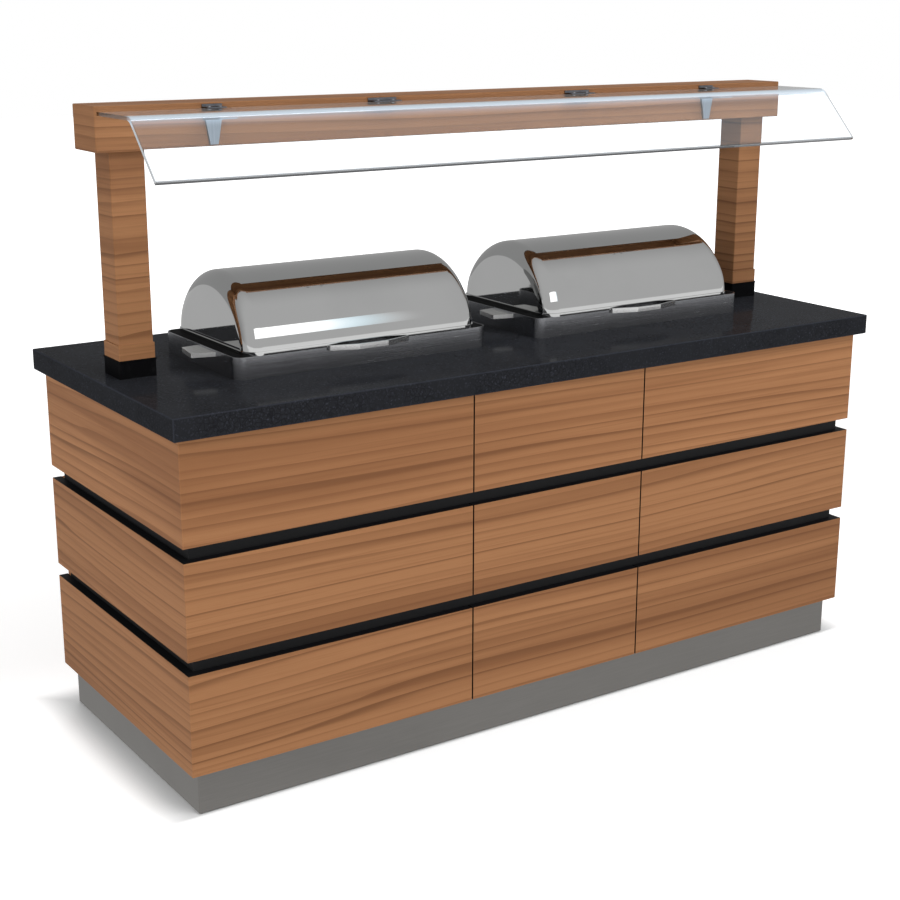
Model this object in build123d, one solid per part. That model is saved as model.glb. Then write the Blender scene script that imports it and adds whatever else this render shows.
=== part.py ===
from build123d import *
import math
import os

os.makedirs("parts", exist_ok=True)

# Heated buffet counter with two domed food wells and a glass guard on a timber gantry.
# +X runs along the counter, the guests stand on the -Y side, the staff on the +Y side.
# The origin lies on the floor below the middle of the worktop. Sizes are in millimetres.

# Stone worktop, as long as the two wells and the room about them
worktop_depth = 800
worktop_thickness = 50
worktop_arris = 2

# Timber cladding in three rows with black channels between them
cladding_inset_x = 20
cladding_inset_y = 25
cladding_thickness = 22
cladding_arris = 1
bottom_row_height = 234
middle_row_height = 220
top_row_height = 236
channel_height = 32
centre_column_length = 500
column_seam = 4

# Black carcass on a steel plinth
board_thickness = 18
niche_width = 486
plinth_height = 104
plinth_sheet = 2
plinth_floor_gap = 3
plinth_bend = 4
foot_pad_radius = 27
foot_pad_height = 12
foot_spindle_radius = 7
foot_plate_side = 70
foot_plate_thickness = 6
foot_edge_inset = 70
feet_along = 4

# Cupboard doors on the staff side and their butt hinges
door_gap = 2
door_overlay = 7
hinge_length = 60
hinge_end_inset = 50
hinge_leaf_thickness = 1.5
hinge_leaf_width = 20
hinge_barrel_radius = 3.5
hinge_barrel_rise = 0.5
hinge_pin_radius = 1.75
hinge_play = 0.05
hinge_knuckle_gap = 0.3

# Control plate on the staff side
control_plate_length = 460
control_plate_height = 120
control_plate_thickness = 2
control_plate_arris = 0.5
control_recess_margin = 18
control_room_depth = 90
knob_spacing = 330
knob_radius = 22
knob_skirt_height = 4
knob_grip_width = 11
knob_height = 15
knob_standoff = 0.5
knob_shaft_radius = 3
knob_shaft_length = 16
knob_shaft_play = 0.05
rocker_spacing = 130
rocker_width = 20
rocker_height = 27
rocker_rise = 5
rocker_dish = 2.5
rocker_flank = 1.2
rocker_depth = 7
rocker_throat = 13.5
rocker_play = 1.2
rocker_tilt = 9
lamp_spacing = 230
lamp_radius = 6
lamp_head_radius = 8
lamp_head_height = 3
lamp_dome_radius = 1.5

# Mains cable gland through the back of the plinth
gland_end_inset = 258
gland_thread_radius = 10
gland_nut_radius = 15
gland_bore_radius = 5
gland_body_length = 20
gland_nut_thickness = 6
gland_dome_radius = 12.5
gland_dome_length = 18
gland_hole_play = 0.1

# Heated wells, one each side of the middle
well_gap = 150
well_end_room = 255
well_centre_y = 14.5
well_end_margin = 29
well_height = 50
well_corner = 25
skirt_sheet = 2
frame_wall = 6
frame_top = 5
pan_length = 530
pan_depth = 325
pan_rim_width = 12.5
pan_wall = 1.5
pan_bowl_depth = 65
pan_corner = 28
pan_bottom_radius = 12
pan_play = 3.5
tank_end_room = 13
tank_side_room = 5
tank_wall = 2
tank_floor_drop = 120
tank_corner = 30
tank_flange_width = 12
tank_hole_play = 2
element_radius = 4
element_pitch = 60
element_bend_radius = 27
element_reach = 230
element_lift = 12
element_bar_width = 12
element_collar_radius = 8
element_collar_thickness = 4
element_tail = 30

# Domed lids, hinged at the back of each well
lid_end_room = 41
lid_side_room = 25
lid_height = 164.5
lid_side_radius = 120
lid_side_rise = 7
lid_end_radius = 38
lid_sheet = 1.5
lid_lip_width = 3
lid_lip_overhang = 2
lid_lip_height = 8
lid_hinge_spacing = 360
lid_hinge_rise = 8
lid_hinge_gap = 2
lid_knuckle_radius = 7
lid_knuckle_length = 28
lid_pin_radius = 3
lid_pin_play = 0.05
lid_knuckle_gap = 0.4
lid_ear_thickness = 6
lid_ear_foot = 22
handle_length = 210
handle_front_length = 76
handle_reach = 26
handle_bar_height = 12
handle_bar_thickness = 4
handle_drop = 8

# Ladle rests on the left of each well
rest_depth = 92
rest_centre_y = -26
rest_tip_depth = 74
rest_tip_centre_y = -21
rest_front_reach = 54
rest_back_reach = 42
rest_sheet = 3
rest_lip_height = 10
rest_corner = 6
rest_drop = 3

# Timber gantry on black shoes
post_side = 80
post_end_inset = 50
post_base_height = 34
post_base_rise = 2.5
gantry_centre_y = 20
gantry_arris = 1.5
shoe_wall = 3
shoe_floor = 5
shoe_height = 41
shoe_lip = 1.2
shoe_lip_height = 4
gantry_height = 590
beam_end_overhang = 36
beam_depth = 120
beam_height = 96

# Bent glass guard, its brackets and clips
glass_end_inset = 6
glass_thickness = 8
glass_top_depth = 170
glass_slope_length = 165
glass_slope_angle = 46
glass_bend_radius = 28
glass_below_beam_top = 11
bracket_post_distance = 193
bracket_top_width = 46
bracket_foot_width = 19
bracket_thickness = 6
bracket_tip_radius = 7
bracket_arm_reach = 80
bracket_foot_clearance = 4
clip_thickness = 2.5
clip_reach = 30
clip_upstand = 8
clip_corner = 4
outer_clip_width = 48
inner_clip_spread = 570
inner_clip_width = 76

# Heights worked out from the rows
bottom_row_z = plinth_height
middle_row_z = bottom_row_z + bottom_row_height + channel_height
top_row_z = middle_row_z + middle_row_height + channel_height
worktop_z = top_row_z + top_row_height
worktop_top = worktop_z + worktop_thickness
well_top = worktop_top + well_height
gantry_top = worktop_top + gantry_height
beam_z = gantry_top - beam_height

# Wells and worktop sized from the standard food pan outwards
tank_length = pan_length + 2 * tank_end_room
tank_width = pan_depth + 2 * tank_side_room
lid_length = pan_length + 2 * lid_end_room
lid_depth = pan_depth + 2 * lid_side_room
well_length = lid_length + 2 * well_end_margin
well_depth = lid_depth + 2 * (lid_lip_width - lid_lip_overhang)
well_x = well_gap / 2 + well_length / 2
worktop_length = 2 * (well_x + well_length / 2 + well_end_room)

# Plan sizes worked out from the worktop inwards
cladding_x = worktop_length / 2 - cladding_inset_x
cladding_y = worktop_depth / 2 - cladding_inset_y
carcass_x = cladding_x - cladding_thickness
carcass_y = cladding_y - cladding_thickness
front_inside_y = -carcass_y + board_thickness
side_inside_x = carcass_x - board_thickness
partition_x = niche_width / 2
seam_x = centre_column_length / 2 + column_seam / 2
gland_x = carcass_x - gland_end_inset

# Gantry and glass placed from the ends of the worktop
post_x = worktop_length / 2 - post_end_inset - post_side / 2
beam_end = post_x + post_side / 2 + beam_end_overhang
beam_front_y = gantry_centre_y - beam_depth / 2
beam_back_y = gantry_centre_y + beam_depth / 2
bracket_x = post_x - bracket_post_distance
glass_top = gantry_top - glass_below_beam_top
glass_bottom = glass_top - glass_thickness


def block(x0, x1, y0, y1, z0, z1):
    """Box between two opposite corners."""
    middle = Pos((x0 + x1) / 2, (y0 + y1) / 2, (z0 + z1) / 2)
    return middle * Box(x1 - x0, y1 - y0, z1 - z0)


def slab(length, depth, corner, x, y, z0, z1):
    """Upright prism with rounded corners, centred at x and y."""
    outline = RectangleRounded(length, depth, corner)
    return Pos(x, y, z0) * extrude(outline, z1 - z0)


def rod_along_x(radius, x0, x1, y, z):
    """Round bar parallel to X."""
    return Pos((x0 + x1) / 2, y, z) * Rot(0, 90, 0) * Cylinder(radius, x1 - x0)


def rod_along_y(radius, x, y0, y1, z):
    """Round bar parallel to Y."""
    return Pos(x, (y0 + y1) / 2, z) * Rot(90, 0, 0) * Cylinder(radius, y1 - y0)


def rod_along_z(radius, x, y, z0, z1):
    """Round bar parallel to Z."""
    return Pos(x, y, (z0 + z1) / 2) * Cylinder(radius, z1 - z0)


def group(solids):
    """One node of several like pieces."""
    return Compound(children=list(solids))


# Plinth and feet
def plinth():
    outer = slab(2 * carcass_x, 2 * carcass_y, plinth_bend, 0, 0, plinth_floor_gap, plinth_height)
    inner_x = carcass_x - plinth_sheet
    inner_y = carcass_y - plinth_sheet
    inner_bend = plinth_bend - plinth_sheet
    inner = slab(2 * inner_x, 2 * inner_y, inner_bend, 0, 0, plinth_floor_gap, plinth_height)
    hole_radius = gland_thread_radius + gland_hole_play
    hole = rod_along_y(hole_radius, gland_x, 0, carcass_y, plinth_height / 2)
    return outer - inner - hole


def foot(x, y):
    top = plinth_height - board_thickness
    pad = rod_along_z(foot_pad_radius, x, y, 0, foot_pad_height)
    spindle = rod_along_z(foot_spindle_radius, x, y, foot_pad_height, top)
    half = foot_plate_side / 2
    plate = block(x - half, x + half, y - half, y + half, top - foot_plate_thickness, top)
    return pad + spindle + plate


def levelling_feet():
    first_x = foot_edge_inset - carcass_x
    pitch = -2 * first_x / (feet_along - 1)
    row_y = carcass_y - foot_edge_inset
    return group(foot(first_x + i * pitch, side * row_y) for i in range(feet_along) for side in (-1, 1))


# Carcass boards
def base_board():
    x = carcass_x - plinth_sheet
    y = carcass_y - plinth_sheet
    return slab(2 * x, 2 * y, plinth_bend - plinth_sheet, 0, 0, plinth_height - board_thickness, plinth_height)


def side_board(side):
    edges = sorted((side * carcass_x, side * side_inside_x))
    return block(*edges, -carcass_y, carcass_y, bottom_row_z, worktop_z)


def front_board():
    return block(-side_inside_x, side_inside_x, -carcass_y, front_inside_y, bottom_row_z, worktop_z)


def service_shelf():
    low = top_row_z - board_thickness
    return block(-side_inside_x, side_inside_x, front_inside_y, carcass_y, low, top_row_z)


def partition(side):
    edges = sorted((side * partition_x, side * (partition_x + board_thickness)))
    return block(*edges, front_inside_y, carcass_y, bottom_row_z, top_row_z - board_thickness)


def centre_support():
    """Upright board under the worktop that stops short of the switches and thermostats."""
    half = board_thickness / 2
    return block(-half, half, front_inside_y, carcass_y - control_room_depth, top_row_z, worktop_z)


def worktop():
    x_end = worktop_length / 2
    y_end = worktop_depth / 2
    top = block(-x_end, x_end, -y_end, y_end, worktop_z, worktop_top)
    top = chamfer(top.edges(), worktop_arris)
    for x in (-well_x, well_x):
        length = tank_length + 2 * tank_hole_play
        width = tank_width + 2 * tank_hole_play
        corner = tank_corner + tank_hole_play
        top -= slab(length, width, corner, x, well_centre_y, worktop_z, worktop_top)
    return top


# Timber cladding
def corner_panel(side, z0, height):
    """Front panel of a row mitred and glued to the end panel of that row."""
    front_x = sorted((side * cladding_x, side * (seam_x + column_seam / 2)))
    end_x = sorted((side * cladding_x, side * carcass_x))
    panel = block(*front_x, -cladding_y, -carcass_y, z0, z0 + height)
    panel += block(*end_x, -carcass_y, cladding_y, z0, z0 + height)
    outer_corner = panel.edges().filter_by(Axis.Z).sort_by_distance((side * cladding_x, -cladding_y, z0))[0]
    return chamfer(outer_corner, cladding_arris)


def centre_panel(z0, height):
    half = seam_x - column_seam / 2
    return block(-half, half, -cladding_y, -carcass_y, z0, z0 + height)


def rear_fascia():
    x = carcass_x - door_gap / 2
    board = block(-x, x, carcass_y, cladding_y, top_row_z, worktop_z)
    recess_x = control_plate_length / 2 - control_recess_margin
    recess_z = control_plate_height / 2 - control_recess_margin
    middle = (top_row_z + worktop_z) / 2
    return board - block(-recess_x, recess_x, carcass_y, cladding_y, middle - recess_z, middle + recess_z)


# Cupboard doors and hinges
def door(side):
    outer = carcass_x - door_gap
    inner = partition_x + door_overlay
    edges = sorted((side * outer, side * inner))
    panel = block(*edges, carcass_y, cladding_y, bottom_row_z + door_gap, bottom_row_z + door_height())
    return chamfer(panel.faces().sort_by(Axis.Y)[-1].edges(), cladding_arris)


def door_height():
    return bottom_row_height + channel_height + middle_row_height


def hinge_axis(side):
    x = side * (carcass_x - door_gap / 2)
    return x, cladding_y + hinge_barrel_rise + hinge_barrel_radius


def hinge_bases():
    low = bottom_row_z + hinge_end_inset
    high = bottom_row_z + door_height() - hinge_end_inset - hinge_length
    return low, high


def hinge_leaf(side, z0, outward):
    """Flat leaf beside the barrel, and its inner edge beside the barrel."""
    x, y = hinge_axis(side)
    edge = x + side * outward * (hinge_barrel_radius + hinge_knuckle_gap)
    edges = sorted((edge, x + side * outward * hinge_leaf_width))
    return block(*edges, cladding_y, cladding_y + hinge_leaf_thickness, z0, z0 + hinge_length)


def hinge_web(side, z0, z1, outward):
    x, y = hinge_axis(side)
    edges = sorted((x, x + side * outward * (hinge_barrel_radius + hinge_knuckle_gap)))
    return block(*edges, cladding_y + hinge_barrel_rise / 2, cladding_y + hinge_leaf_thickness, z0, z1)


def fixed_hinge(side, z0):
    """Leaf on the end panel with the two outer knuckles and the pin."""
    x, y = hinge_axis(side)
    third = hinge_length / 3
    hinge = hinge_leaf(side, z0, 1)
    for low, high in ((z0, z0 + third), (z0 + 2 * third, z0 + hinge_length)):
        hinge += rod_along_z(hinge_barrel_radius, x, y, low, high)
        hinge += hinge_web(side, low, high, 1)
    return hinge + rod_along_z(hinge_pin_radius, x, y, z0, z0 + hinge_length)


def moving_hinge(side, z0):
    """Leaf on the door with the middle knuckle."""
    x, y = hinge_axis(side)
    low = z0 + hinge_length / 3 + hinge_knuckle_gap
    high = z0 + 2 * hinge_length / 3 - hinge_knuckle_gap
    knuckle = rod_along_z(hinge_barrel_radius, x, y, low, high) + hinge_web(side, low, high, -1)
    knuckle -= rod_along_z(hinge_pin_radius + hinge_play, x, y, low, high)
    return hinge_leaf(side, z0, -1) + knuckle


def door_hinge_leaves(side):
    return group(moving_hinge(side, z0) for z0 in hinge_bases())


def hinge_fixed_leaves():
    return group(fixed_hinge(side, z0) for side in (-1, 1) for z0 in hinge_bases())


# Controls on the staff side
control_z = (top_row_z + worktop_z) / 2
control_face = cladding_y + control_plate_thickness


def control_plate():
    half = control_plate_length / 2
    low = control_z - control_plate_height / 2
    plate = block(-half, half, cladding_y, control_face, low, low + control_plate_height)
    plate = chamfer(plate.faces().sort_by(Axis.Y)[-1].edges(), control_plate_arris)
    for side in (-1, 1):
        shaft_hole = knob_shaft_radius + knob_shaft_play
        plate -= rod_along_y(shaft_hole, side * knob_spacing / 2, cladding_y, control_face, control_z)
        plate -= rod_along_y(lamp_radius, side * lamp_spacing / 2, cladding_y, control_face, control_z)
        x = side * rocker_spacing / 2
        width = rocker_width / 2 + rocker_play / 2
        height = rocker_height / 2 + rocker_play
        plate -= block(x - width, x + width, cladding_y, control_face, control_z - height, control_z + height)
    return plate


def thermostat_knob(side):
    x = side * knob_spacing / 2
    seat = control_face + knob_standoff
    knob = rod_along_y(knob_radius, x, seat, seat + knob_skirt_height, control_z)
    half = knob_grip_width / 2
    top = seat + knob_height
    grip = block(x - half, x + half, seat, top, control_z - knob_radius, control_z + knob_radius)
    grip &= rod_along_y(knob_radius, x, seat, top, control_z)
    shaft = rod_along_y(knob_shaft_radius, x, seat - knob_shaft_length, seat, control_z)
    return knob + grip + shaft


def rocker_axis_y():
    return control_face - control_plate_thickness / 2


def rocker_switch(side):
    """Rocker pressed to its off side."""
    half = rocker_height / 2
    throat = rocker_throat / 2
    points = [(rocker_dish, 0), (rocker_rise, half), (-rocker_flank, half), (-rocker_depth, throat)]
    points += [(-rocker_depth, -throat), (-rocker_flank, -half), (rocker_rise, -half)]
    outline = make_face(Polyline(*points, close=True))
    body = extrude(Plane.YZ * outline, rocker_width / 2, both=True)
    return Pos(side * rocker_spacing / 2, rocker_axis_y(), control_z) * Rot(-rocker_tilt, 0, 0) * body


def pilot_lamp(side):
    x = side * lamp_spacing / 2
    lens = rod_along_y(lamp_head_radius, x, control_face, control_face + lamp_head_height, control_z)
    lens = fillet(lens.edges().sort_by(Axis.Y)[-1], lamp_dome_radius)
    return lens + rod_along_y(lamp_radius, x, cladding_y, control_face, control_z)


def cable_gland():
    z = plinth_height / 2
    outside = carcass_y + gland_body_length
    thread_in = carcass_y - plinth_sheet - gland_nut_thickness
    body = rod_along_y(gland_thread_radius, gland_x, thread_in, outside, z)
    hexagon = extrude(Plane.XZ * RegularPolygon(gland_nut_radius, 6), gland_nut_thickness)
    body += Pos(gland_x, carcass_y + gland_nut_thickness, z) * hexagon
    body += Pos(gland_x, carcass_y - plinth_sheet, z) * hexagon
    body += rod_along_y(gland_dome_radius, gland_x, carcass_y, carcass_y + gland_dome_length, z)
    return body - rod_along_y(gland_bore_radius, gland_x, thread_in, outside, z)


# Heated wells
well_back_y = well_centre_y + well_depth / 2
lid_back_y = well_centre_y + lid_depth / 2 + lid_lip_width
lid_axis_y = lid_back_y + lid_hinge_gap + lid_knuckle_radius
lid_axis_z = well_top + lid_hinge_rise


def lid_hinge_places(x):
    return x - lid_hinge_spacing / 2, x + lid_hinge_spacing / 2


def ear_span():
    return lid_knuckle_length + 2 * lid_knuckle_gap + 2 * lid_ear_thickness


def well_skirt(x):
    outer = slab(well_length, well_depth, well_corner, x, well_centre_y, worktop_top, well_top)
    inside = well_corner - skirt_sheet
    length = well_length - 2 * skirt_sheet
    skirt = outer - slab(length, well_depth - 2 * skirt_sheet, inside, x, well_centre_y, worktop_top, well_top)
    for hinge_x in lid_hinge_places(x):
        half = ear_span() / 2 + skirt_sheet
        low = well_top - lid_ear_foot - skirt_sheet
        skirt -= block(hinge_x - half, hinge_x + half, well_centre_y, well_back_y + skirt_sheet, low, well_top)
    return skirt


def hinge_ear(x0):
    """Ear that carries the lid pin, standing behind the well's back wall."""
    wall_y = well_back_y - skirt_sheet
    foot_z = well_top - lid_ear_foot
    back_y = lid_axis_y + lid_knuckle_radius
    ear = block(x0, x0 + lid_ear_thickness, wall_y, back_y, foot_z, well_top - lid_knuckle_gap)
    front_y = lid_axis_y - lid_knuckle_radius
    ear += block(x0, x0 + lid_ear_thickness, front_y, back_y, foot_z, lid_axis_z)
    return ear + rod_along_x(lid_knuckle_radius, x0, x0 + lid_ear_thickness, lid_axis_y, lid_axis_z)


def well_frame(x):
    """Black cast frame with the pan opening and the ears of the lid hinges."""
    length = well_length - 2 * skirt_sheet
    depth = well_depth - 2 * skirt_sheet
    corner = well_corner - skirt_sheet
    frame = slab(length, depth, corner, x, well_centre_y, worktop_top, well_top)
    hollow_length = length - 2 * frame_wall
    hollow_depth = depth - 2 * frame_wall
    hollow_top = well_top - frame_top
    frame -= slab(hollow_length, hollow_depth, corner - frame_wall, x, well_centre_y, worktop_top, hollow_top)
    bowl_length = pan_length - 2 * pan_rim_width + 2 * pan_play
    bowl_depth = pan_depth - 2 * pan_rim_width + 2 * pan_play
    frame -= slab(bowl_length, bowl_depth, pan_corner + pan_play, x, well_centre_y, hollow_top, well_top)
    for hinge_x in lid_hinge_places(x):
        start = hinge_x - ear_span() / 2
        end = hinge_x + ear_span() / 2
        frame += hinge_ear(start)
        frame += hinge_ear(end - lid_ear_thickness)
        frame += rod_along_x(lid_pin_radius, start, end, lid_axis_y, lid_axis_z)
    return frame


def water_tank(x):
    floor = worktop_top - tank_floor_drop
    flange_length = tank_length + 2 * tank_flange_width
    flange_depth = tank_width + 2 * tank_flange_width
    flange_corner = tank_corner + tank_flange_width
    rim_top = worktop_top + tank_wall
    tank = slab(flange_length, flange_depth, flange_corner, x, well_centre_y, worktop_top, rim_top)
    tank += slab(tank_length, tank_width, tank_corner, x, well_centre_y, floor, worktop_top)
    inner_length = tank_length - 2 * tank_wall
    inner_width = tank_width - 2 * tank_wall
    inner_corner = tank_corner - tank_wall
    tank -= slab(inner_length, inner_width, inner_corner, x, well_centre_y, floor + tank_wall, rim_top)
    end = x - tank_length / 2
    for y in element_tail_rows():
        tank -= rod_along_x(element_radius, end, x, well_centre_y + y, element_z())
    return tank


def element_z():
    return worktop_top - tank_floor_drop + tank_wall + element_lift


def element_tail_rows():
    return -1.5 * element_pitch, 1.5 * element_pitch


def heating_element(x):
    """Snaking tube on two bars, its tails led out through the end of the tank."""
    low, high = element_tail_rows()
    middle = element_pitch / 2
    reach = element_reach
    start = -tank_length / 2 - element_tail
    points = [(start, low), (reach, low), (reach, -middle), (-reach, -middle)]
    points += [(-reach, middle), (reach, middle), (reach, high), (start, high)]
    path = FilletPolyline(*points, radius=element_bend_radius)
    section = Plane(origin=path @ 0, z_dir=path % 0) * Circle(element_radius)
    tube = sweep(section, path=path)
    for bar_x in (-reach / 2, reach / 2):
        half = element_bar_width / 2
        tube += block(bar_x - half, bar_x + half, low, high, -element_lift, -element_radius / 2)
    for y in (low, high):
        for face_x in (-tank_length / 2 - element_collar_thickness, -tank_length / 2 + tank_wall):
            tube += rod_along_x(element_collar_radius, face_x, face_x + element_collar_thickness, y, 0)
    return Pos(x, well_centre_y, element_z()) * tube


def food_pan(x):
    bowl_length = pan_length - 2 * pan_rim_width
    bowl_depth = pan_depth - 2 * pan_rim_width
    rim_corner = pan_corner + pan_rim_width
    rim_top = well_top + pan_wall
    floor = well_top - pan_bowl_depth
    outer = slab(bowl_length, bowl_depth, pan_corner, x, well_centre_y, floor, rim_top)
    outer = fillet(outer.edges().group_by(Axis.Z)[0], pan_bottom_radius)
    inner_length = bowl_length - 2 * pan_wall
    inner_depth = bowl_depth - 2 * pan_wall
    inner = slab(inner_length, inner_depth, pan_corner - pan_wall, x, well_centre_y, floor + pan_wall, rim_top)
    inner = fillet(inner.edges().group_by(Axis.Z)[0], pan_bottom_radius - pan_wall)
    rim = slab(pan_length, pan_depth, rim_corner, x, well_centre_y, well_top, rim_top)
    return outer + rim - inner


# Lids
def dome(inset):
    """Closed dome of the lid, drawn in by inset on its curved sides and ends."""
    half = lid_depth / 2 - inset
    height = lid_height - inset
    side = lid_side_radius - inset
    side_centre = half - side
    rise = lid_side_rise
    crown = (side_centre**2 + (height - rise) ** 2 - side**2) / (2 * (height - rise - side))
    crown_centre = height - crown
    gap = crown - side
    shoulder = (crown * side_centre / gap, crown_centre + crown * (rise - crown_centre) / gap)
    right_side = RadiusArc((half, rise), shoulder, -side)
    crown_arc = ThreePointArc(shoulder, (0, height), (-shoulder[0], shoulder[1]))
    left_side = RadiusArc((-shoulder[0], shoulder[1]), (-half, rise), -side)
    walls = Polyline((-half, rise), (-half, 0), (half, 0), (half, rise))
    outline = make_face([right_side, crown_arc, left_side, walls])
    solid = extrude(Plane.YZ * outline, lid_length / 2 - inset, both=True)
    end_edges = solid.faces().filter_by(Axis.X).edges()
    floor_edges = solid.faces().sort_by(Axis.Z)[0].edges()
    return fillet(end_edges - floor_edges, lid_end_radius - inset)


def lid_knuckle(x):
    radius = lid_knuckle_radius
    half = lid_knuckle_length / 2
    knuckle = rod_along_x(radius, x - half, x + half, lid_axis_y, lid_axis_z)
    low = well_top + lid_knuckle_gap
    high = well_top + lid_lip_height
    knuckle += block(x - half, x + half, lid_back_y - lid_lip_width / 2, lid_axis_y, low, high)
    pin_hole = rod_along_x(lid_pin_radius + lid_pin_play, x - half, x + half, lid_axis_y, lid_axis_z)
    return knuckle - pin_hole


def lid(x):
    place = Pos(x, well_centre_y, well_top)
    lip_length = lid_length + 2 * lid_lip_width
    lip_depth = lid_depth + 2 * lid_lip_width
    lip_corner = lid_end_radius + lid_lip_width
    shell = place * dome(0)
    shell += slab(lip_length, lip_depth, lip_corner, x, well_centre_y, well_top, well_top + lid_lip_height)
    shell -= place * dome(lid_sheet)
    for hinge_x in lid_hinge_places(x):
        shell += lid_knuckle(hinge_x)
    return shell


def lid_handle(x):
    """Bow of flat bar on the front lip of the lid."""
    lip_y = well_centre_y - lid_depth / 2 - lid_lip_width
    ends = handle_length / 2
    front = handle_front_length / 2
    inside = handle_bar_thickness
    front_y = lip_y - handle_reach + handle_bar_thickness / 2
    points = [(-ends, lip_y + inside), (-ends, lip_y - inside), (-front, front_y)]
    points += [(front, front_y), (ends, lip_y - inside), (ends, lip_y + inside)]
    path = FilletPolyline(*points, radius=handle_bar_thickness)
    low = well_top - handle_drop
    bar = Pos(x, 0, low) * extrude(trace(path, handle_bar_thickness), handle_bar_height)
    return bar - block(x - handle_length, x + handle_length, lip_y, 0, low, low + handle_bar_height)


def ladle_rest(x):
    """Folded plate with lips turned down, fixed to the left side of the skirt."""
    side_x = x - well_length / 2
    front = rest_centre_y - rest_depth / 2
    back = rest_centre_y + rest_depth / 2
    top = well_top - rest_drop
    outer_front = (side_x - rest_front_reach, rest_tip_centre_y - rest_tip_depth / 2)
    outer_back = (side_x - rest_back_reach, rest_tip_centre_y + rest_tip_depth / 2)
    outline = make_face(Polyline((side_x, front), outer_front, outer_back, (side_x, back), close=True))
    outline = fillet(outline.vertices().sort_by(Axis.X)[:2], rest_corner)
    plate = Pos(0, 0, top - rest_lip_height) * extrude(outline, rest_lip_height)
    inside = offset(outline, -rest_sheet)
    under = Pos(0, 0, top - rest_lip_height) * extrude(inside, rest_lip_height - rest_sheet)
    under += Pos(rest_sheet, 0, 0) * under
    return plate - under


# Gantry
def post_shoe(x):
    half = post_side / 2 + shoe_wall
    lip = half + shoe_lip
    y = gantry_centre_y
    top = worktop_top + shoe_height
    shoe = block(x - half, x + half, y - half, y + half, worktop_top, top)
    shoe += block(x - lip, x + lip, y - lip, y + lip, top - shoe_lip_height, top)
    inside = post_side / 2
    return shoe - block(x - inside, x + inside, y - inside, y + inside, worktop_top + shoe_floor, top)


def post(x):
    """Timber post that stands in its shoe, with a base block on the shoe's lip."""
    half = post_side / 2
    base = half + post_base_rise
    y = gantry_centre_y
    low = worktop_top + shoe_height
    timber = block(x - half, x + half, y - half, y + half, worktop_top + shoe_floor, beam_z)
    timber = chamfer(timber.edges().filter_by(Axis.Z), gantry_arris)
    foot_block = block(x - base, x + base, y - base, y + base, low, low + post_base_height)
    return timber + chamfer(foot_block.edges().filter_by(Axis.Z), gantry_arris)


def beam():
    timber = block(-beam_end, beam_end, beam_front_y, beam_back_y, beam_z, gantry_top)
    return chamfer(timber.edges(), gantry_arris)


def glass_guard():
    """Level pane from the beam to a bend, then down and out towards the guests."""
    middle = glass_top - glass_thickness / 2
    bend_y = beam_front_y - glass_top_depth
    angle = math.radians(glass_slope_angle)
    foot_y = bend_y - glass_slope_length * math.cos(angle)
    foot_z = middle - glass_slope_length * math.sin(angle)
    path = FilletPolyline((beam_front_y, middle), (bend_y, middle), (foot_y, foot_z), radius=glass_bend_radius)
    return extrude(Plane.YZ * trace(path, glass_thickness), beam_end - glass_end_inset, both=True)


def glass_bracket(x):
    """Tapered plate on the beam with an arm below the glass."""
    arm_z = glass_bottom - bracket_thickness
    foot_z = beam_z + bracket_foot_clearance
    top = bracket_top_width / 2
    low = bracket_foot_width / 2
    corners = [(-top, glass_bottom), (top, glass_bottom), (low, foot_z), (-low, foot_z)]
    outline = make_face(Polyline(*corners, close=True))
    plate = Pos(x, beam_front_y, 0) * extrude(Plane.XZ * outline, bracket_thickness)
    arm = block(x - top, x + top, beam_front_y - bracket_arm_reach, beam_front_y, arm_z, glass_bottom)
    tip = arm.edges().filter_by(Axis.Z).group_by(Axis.Y)[0]
    return plate + fillet(tip, bracket_tip_radius)


def glass_clip(x, width):
    half = width / 2
    front = beam_front_y - clip_reach
    pad = block(x - half, x + half, front, beam_front_y, glass_top, glass_top + clip_thickness)
    pad = fillet(pad.edges().filter_by(Axis.Z).group_by(Axis.Y)[0], clip_corner)
    back = beam_front_y - clip_thickness
    return pad + block(x - half, x + half, back, beam_front_y, glass_top, glass_top + clip_upstand)


def glass_clips():
    outer = [glass_clip(side * bracket_x, outer_clip_width) for side in (-1, 1)]
    inner = [glass_clip(side * inner_clip_spread / 2, inner_clip_width) for side in (-1, 1)]
    return group(outer + inner)


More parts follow.
